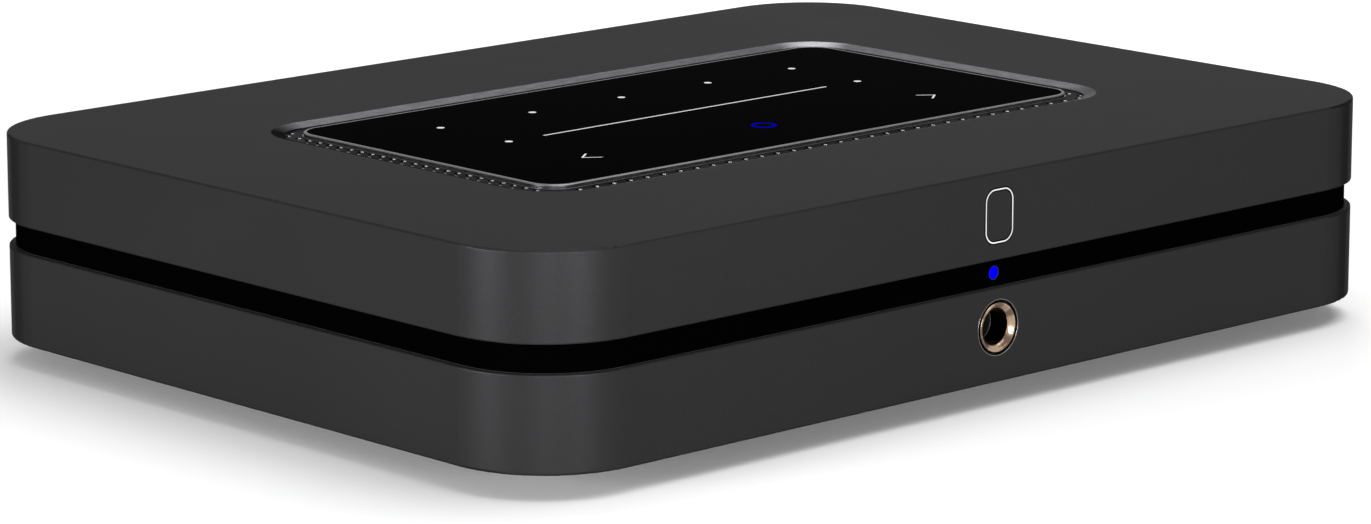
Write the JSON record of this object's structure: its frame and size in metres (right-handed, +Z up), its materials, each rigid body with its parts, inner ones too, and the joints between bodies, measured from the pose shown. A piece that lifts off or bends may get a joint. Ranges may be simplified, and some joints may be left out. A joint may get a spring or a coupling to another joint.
{
  "type": "network music streamer",
  "caption": "Flat desktop music streamer: two rounded grey casings round a black waist band, glass touch panel in a vented recess, front headphone socket, recessed rear sockets.",
  "frame": {"origin": "on the surface it stands on, under the middle of the body", "axes": "+X right and +Z up as seen from the front, the front faces -Y"},
  "size_m": [0.22, 0.16, 0.043],
  "materials": {
    "casing": "satin black-grey anodised look, fine matt grain",
    "band": "black, near matt",
    "rubber": "matt black",
    "screw_steel": "dark zinc",
    "grille_metal": "dark grey",
    "bezel_metal": "brushed, anodised grey",
    "panel_glass": "opaque black glass, polished",
    "marks_white": "lit white marks",
    "light_blue": "lit blue",
    "badge_metal": "polished edge",
    "trim_metal": "polished",
    "gold": "pale gold plating",
    "black_plastic": "moulded black",
    "panel_black": "black powder coat",
    "nickel": "nickel plating",
    "white_plastic": "white",
    "red_plastic": "red",
    "grey_plastic": "grey",
    "board_green": "green solder mask",
    "board_black": "black solder mask",
    "chip": "moulded",
    "sink_black": "black anodised",
    "shield": "tinned",
    "flex_amber": "amber film",
    "ribbon_grey": "grey insulation",
    "capacitor": "shrink sleeve",
    "winding": "yellow tape",
    "ferrite": "ferrite",
    "fuse_ceramic": "ceramic and nickel",
    "wire_red": "wire insulation"
  },
  "bodies": {
    "housing": {"upper_casing": "casing", "lower_casing": "casing", "waist_band": "band", "rubber_feet": "rubber", "casing_screws": "screw_steel", "machine_screws": "screw_steel", "vent_grille": "grille_metal", "touch_carrier": "black_plastic", "carrier_screws": "screw_steel", "touch_bezel": "bezel_metal", "touch_glass": "panel_glass", "touch_marks": "marks_white", "play_ring": "light_blue", "touch_sensor_board": "board_black", "touch_flex_cable": "flex_amber", "badge_frame": "badge_metal", "status_light_pipe": "light_blue", "status_led": "white_plastic", "headphone_trim_ring": "trim_metal", "headphone_ferrule": "gold", "headphone_jack": "black_plastic", "socket_contacts": "gold", "base_plate": "panel_black", "headphone_board": "board_green", "headphone_ribbon": "ribbon_grey", "rear_panel": "panel_black", "power_inlet": "black_plastic", "power_inlet_pins": "nickel", "network_socket": "grey_plastic", "usb_shell": "nickel", "hdmi_shell": "nickel", "port_tongues": "black_plastic", "optical_socket": "black_plastic", "optical_emitter": "red_plastic", "shutter_pin": "screw_steel", "shutter_spring": "screw_steel", "minijack_bodies": "black_plastic", "phono_block": "black_plastic", "phono_metal": "gold", "phono_insulator_left": "white_plastic", "phono_insulator_right": "red_plastic", "phono_insulators_lower": "black_plastic", "main_board": "board_green", "rear_frame": "panel_black", "heat_sinks": "sink_black", "board_chips": "chip", "audio_capacitors": "capacitor", "wireless_module": "shield", "wireless_antennas": "board_black", "antenna_leads": "ribbon_grey", "board_connectors": "white_plastic", "power_board": "board_green", "transformer": "winding", "mains_capacitor": "capacitor", "mains_choke": "ferrite", "mains_fuse": "fuse_ceramic", "output_capacitors": "capacitor", "panel_blocks": "shield", "power_cable": "wire_red"},
    "shutter": {"optical_shutter": "grey_plastic"}
  },
  "joints": [
    {"name": "shutter_hinge", "type": "hinge", "parent": "housing", "child": "shutter", "pos_m": [0.01507, 0.06775, 0.02515], "axis": [-1, 0, 0], "range_deg": [0, 85], "stiffness_Nm_per_rad": 0.00002, "springref_deg": -20.05}
  ]
}
